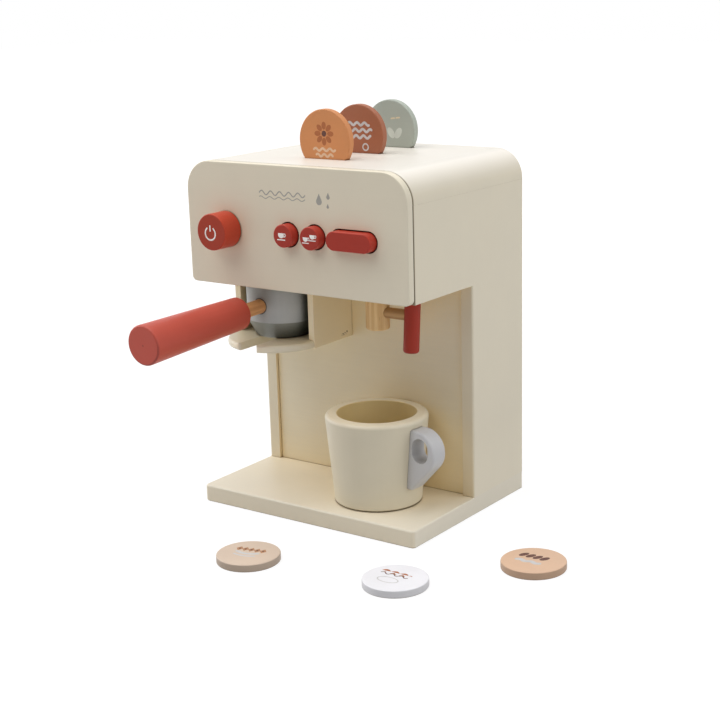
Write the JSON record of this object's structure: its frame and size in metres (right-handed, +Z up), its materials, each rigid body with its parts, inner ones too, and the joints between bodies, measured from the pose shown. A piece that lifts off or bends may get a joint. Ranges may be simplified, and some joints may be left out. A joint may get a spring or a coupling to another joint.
{
  "type": "toy coffee maker",
  "caption": "Wooden toy coffee maker with a turning knob, sprung push buttons, a pull-out portafilter, a swinging spout lever, a mug and flavour discs.",
  "frame": {"origin": "centre of the base board's underside, where the machine rests on the table", "axes": "+Z up, the front panel faces -Y, +X to the right of someone facing the front"},
  "size_m": [0.2733, 0.2313, 0.2694],
  "materials": {
    "cream_paint": "painted satin cream",
    "red_paint": "painted satin terracotta red",
    "bare_pine": "bare sanded dowel",
    "grey_paint": "painted satin grey",
    "light_grey_paint": "painted satin light grey",
    "orange_paint": "painted matt orange",
    "brown_paint": "painted matt rust brown",
    "green_paint": "painted matt sage green",
    "beige_paint": "painted matt beige",
    "white_paint": "painted matt white",
    "peach_paint": "painted matt peach",
    "spring_steel": "plain spring wire",
    "screw_steel": "zinc plated"
  },
  "bodies": {
    "housing": {"base_board": "cream_paint", "left_side_panel": "cream_paint", "right_side_panel": "cream_paint", "left_corner_moulding": "cream_paint", "right_corner_moulding": "cream_paint", "top_board": "cream_paint", "front_panel": "cream_paint", "head_floor_board": "cream_paint", "splash_panel": "cream_paint", "back_panel": "cream_paint", "spring_board": "bare_pine", "base_screws": "screw_steel", "one_cup_spring": "spring_steel", "two_cup_spring": "spring_steel", "long_button_springs": "spring_steel", "holder_left_wall": "cream_paint", "holder_right_wall": "cream_paint", "holder_fork_plate": "cream_paint", "holder_brads": "screw_steel", "hot_water_spout": "bare_pine"},
    "knob": {"knob": "red_paint", "knob_dowel": "bare_pine", "knob_collar": "bare_pine"},
    "one_cup_button": {"one_cup_button": "red_paint"},
    "two_cup_button": {"two_cup_button": "red_paint"},
    "long_button": {"long_button": "red_paint"},
    "portafilter": {"portafilter_cup": "grey_paint", "grip_dowel": "bare_pine", "portafilter_grip": "red_paint"},
    "lever": {"lever": "red_paint", "lever_pin": "bare_pine"},
    "mug": {"mug_body": "cream_paint", "mug_handle": "light_grey_paint"},
    "orange_disc": {"orange_disc": "orange_paint"},
    "brown_disc": {"brown_disc": "brown_paint"},
    "green_disc": {"green_disc": "green_paint"},
    "beige_disc": {"beige_disc": "beige_paint"},
    "white_disc": {"white_disc": "white_paint"},
    "peach_disc": {"peach_disc": "peach_paint"}
  },
  "joints": [
    {"name": "knob_turn", "type": "hinge", "parent": "housing", "child": "knob", "pos_m": [-0.0544, -0.0685, 0.194], "axis": [0, 1, 0], "continuous": true},
    {"name": "one_cup_button_press", "type": "slide", "parent": "housing", "child": "one_cup_button", "axis": [0, 1, 0], "range_m": [0, 0.004], "stiffness_N_per_m": 300, "springref_m": -0.002, "deforming": ["one_cup_spring"]},
    {"name": "two_cup_button_press", "type": "slide", "parent": "housing", "child": "two_cup_button", "axis": [0, 1, 0], "range_m": [0, 0.004], "stiffness_N_per_m": 300, "springref_m": -0.002, "deforming": ["two_cup_spring"]},
    {"name": "long_button_press", "type": "slide", "parent": "housing", "child": "long_button", "axis": [0, 1, 0], "range_m": [0, 0.004], "stiffness_N_per_m": 300, "springref_m": -0.002, "deforming": ["long_button_springs"]},
    {"name": "portafilter_pull", "type": "slide", "parent": "housing", "child": "portafilter", "axis": [0, -1, 0], "range_m": [0, 0.12]},
    {"name": "lever_swing", "type": "hinge", "parent": "housing", "child": "lever", "pos_m": [0.0618, -0.0275, 0.1405], "axis": [1, 0, 0], "range_deg": [-80, 80]},
    {"name": "mug_take_out", "type": "slide", "parent": "housing", "child": "mug", "axis": [0, -1, 0], "range_m": [0, 0.12]},
    {"name": "orange_disc_lift", "type": "slide", "parent": "housing", "child": "orange_disc", "axis": [0, 0, 1], "range_m": [0, 0.05]},
    {"name": "brown_disc_lift", "type": "slide", "parent": "housing", "child": "brown_disc", "axis": [0, 0, 1], "range_m": [0, 0.05]},
    {"name": "green_disc_lift", "type": "slide", "parent": "housing", "child": "green_disc", "axis": [0, 0, 1], "range_m": [0, 0.05]},
    {"name": "beige_disc_lift", "type": "slide", "parent": "housing", "child": "beige_disc", "axis": [0, 0, 1], "range_m": [0, 0.1]},
    {"name": "white_disc_lift", "type": "slide", "parent": "housing", "child": "white_disc", "axis": [0, 0, 1], "range_m": [0, 0.1]},
    {"name": "peach_disc_lift", "type": "slide", "parent": "housing", "child": "peach_disc", "axis": [0, 0, 1], "range_m": [0, 0.1]}
  ]
}
